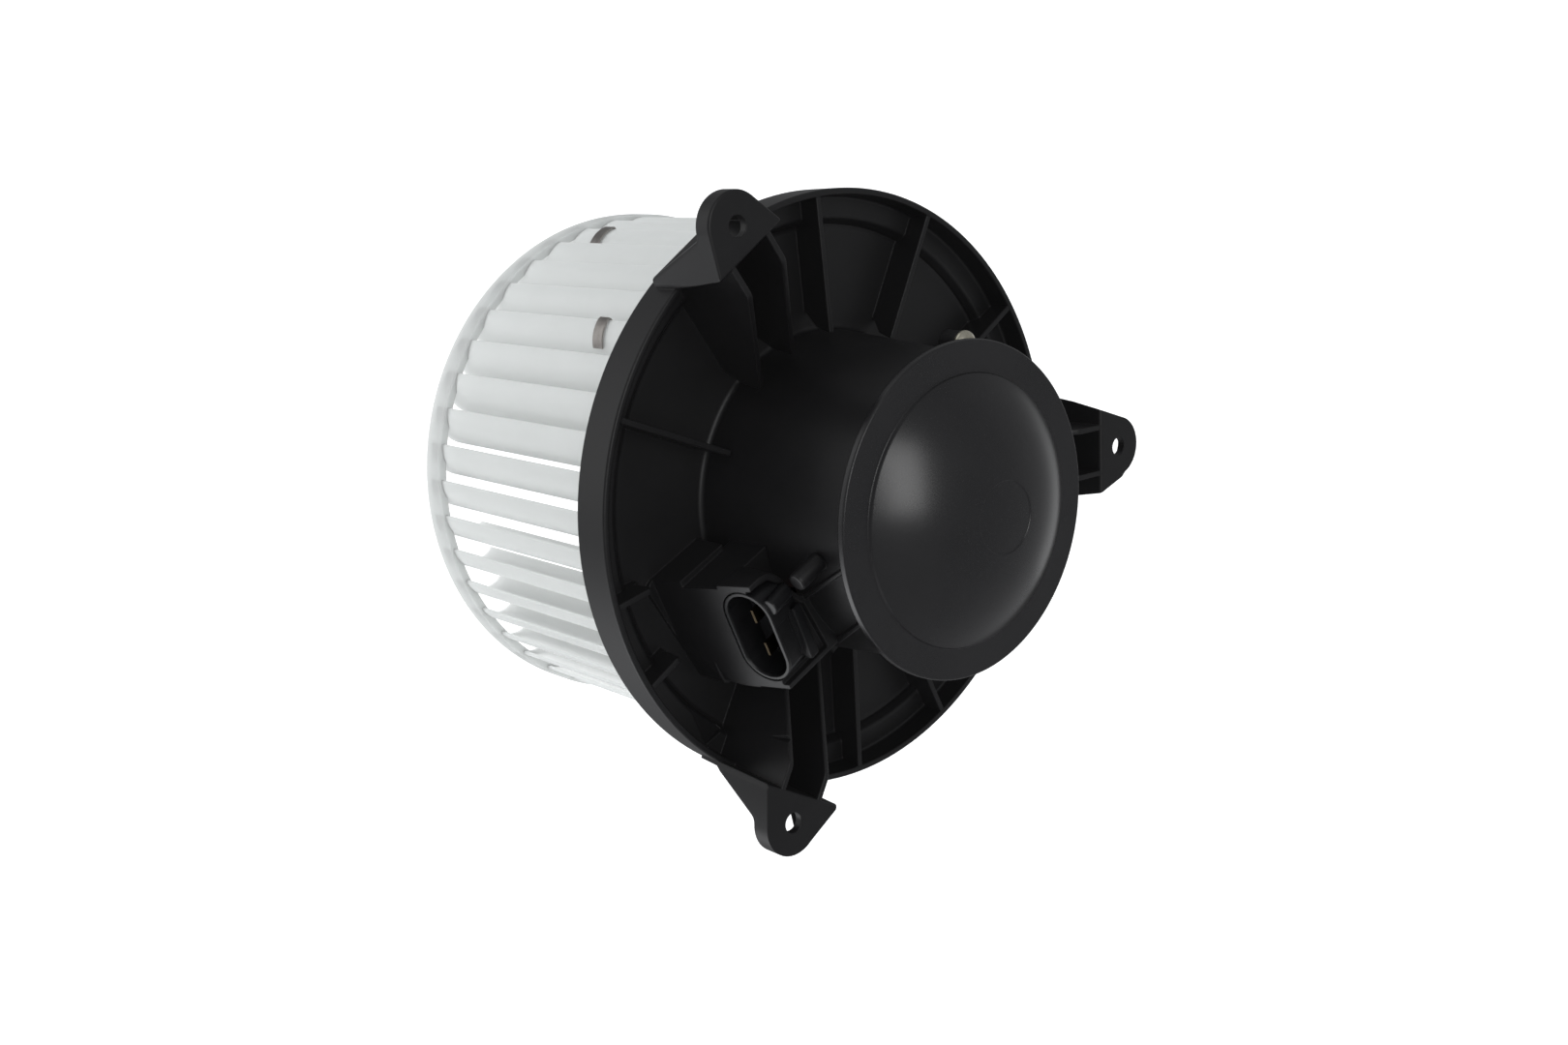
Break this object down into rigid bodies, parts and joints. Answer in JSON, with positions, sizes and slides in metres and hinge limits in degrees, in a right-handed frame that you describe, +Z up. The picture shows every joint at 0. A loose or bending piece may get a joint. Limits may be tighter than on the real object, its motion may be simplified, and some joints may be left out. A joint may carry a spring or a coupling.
{
  "type": "blower motor wheel",
  "caption": "Heater blower: a forward-curved squirrel-cage wheel on a brushed motor, in a round black flanged housing with screw ears, a domed cover and a side connector socket.",
  "frame": {"origin": "on the motor axis, in the plane of the flange rim's wheel-side edge", "axes": "+Y along the motor axis from the domed cover to the wheel's open end, +Z up, +X towards the side ear"},
  "size_m": [0.2003, 0.1712, 0.1873],
  "materials": {
    "black_plastic": "fine-grained black moulding, glass-filled",
    "connector_plastic": "smooth black moulding",
    "white_plastic": "natural polypropylene, slightly translucent",
    "spring_steel": "bare spring steel",
    "plated_steel": "zinc-plated, slightly yellow",
    "zinc_steel": "zinc-plated deep-drawn steel",
    "ground_steel": "ground and bright",
    "core_steel": "stacked laminations, dull",
    "ferrite": "dark grey ceramic",
    "copper": "turned copper",
    "enamelled_wire": "enamelled copper wire",
    "brass": "stamped and bright",
    "sintered_bronze": "porous and oiled",
    "carbon": "pressed copper-graphite",
    "rubber": "matt",
    "brown_resin": "brown phenolic card",
    "nylon_washer": "natural nylon",
    "lead_sleeve": "red PVC sleeve"
  },
  "bodies": {
    "stator": {"flange_housing": "black_plastic", "end_cover": "black_plastic", "connector_body": "connector_plastic", "terminal_1": "brass", "terminal_2": "brass", "lead_1": "lead_sleeve", "lead_2": "lead_sleeve", "motor_screw_1": "plated_steel", "motor_screw_2": "plated_steel", "isolator_front": "rubber", "isolator_rear": "rubber", "motor_yoke": "zinc_steel", "end_bell": "zinc_steel", "magnet_1": "ferrite", "magnet_2": "ferrite", "magnet_spring_1": "spring_steel", "magnet_spring_2": "spring_steel", "bearing_front": "sintered_bronze", "bearing_rear": "sintered_bronze", "bearing_retainer_front": "spring_steel", "bearing_retainer_rear": "spring_steel", "brush_card": "brown_resin", "brush_holder_1": "brass", "brush_holder_2": "brass", "brush_spring_1": "spring_steel", "brush_spring_2": "spring_steel"},
    "rotor": {"blower_wheel": "white_plastic", "wheel_spring_clip": "spring_steel", "balance_clip_1": "spring_steel", "balance_clip_2": "spring_steel", "motor_shaft": "ground_steel", "armature_core": "core_steel", "winding_front": "enamelled_wire", "winding_rear": "enamelled_wire", "commutator": "copper", "thrust_washer_front": "nylon_washer", "thrust_washer_rear": "nylon_washer"},
    "brush_1": {"brush_1": "carbon"},
    "brush_2": {"brush_2": "carbon"}
  },
  "joints": [
    {"name": "wheel_spin", "type": "hinge", "parent": "stator", "child": "rotor", "pos_m": [0, 0, 0], "axis": [0, 1, 0], "continuous": true},
    {"name": "brush_1_slide", "type": "slide", "parent": "stator", "child": "brush_1", "axis": [0, 0, 1], "range_m": [0, 0.003], "stiffness_N_per_m": 300, "springref_m": -0.01, "deforming": ["brush_spring_1"]},
    {"name": "brush_2_slide", "type": "slide", "parent": "stator", "child": "brush_2", "axis": [0, 0, -1], "range_m": [0, 0.003], "stiffness_N_per_m": 300, "springref_m": -0.01, "deforming": ["brush_spring_2"]}
  ]
}
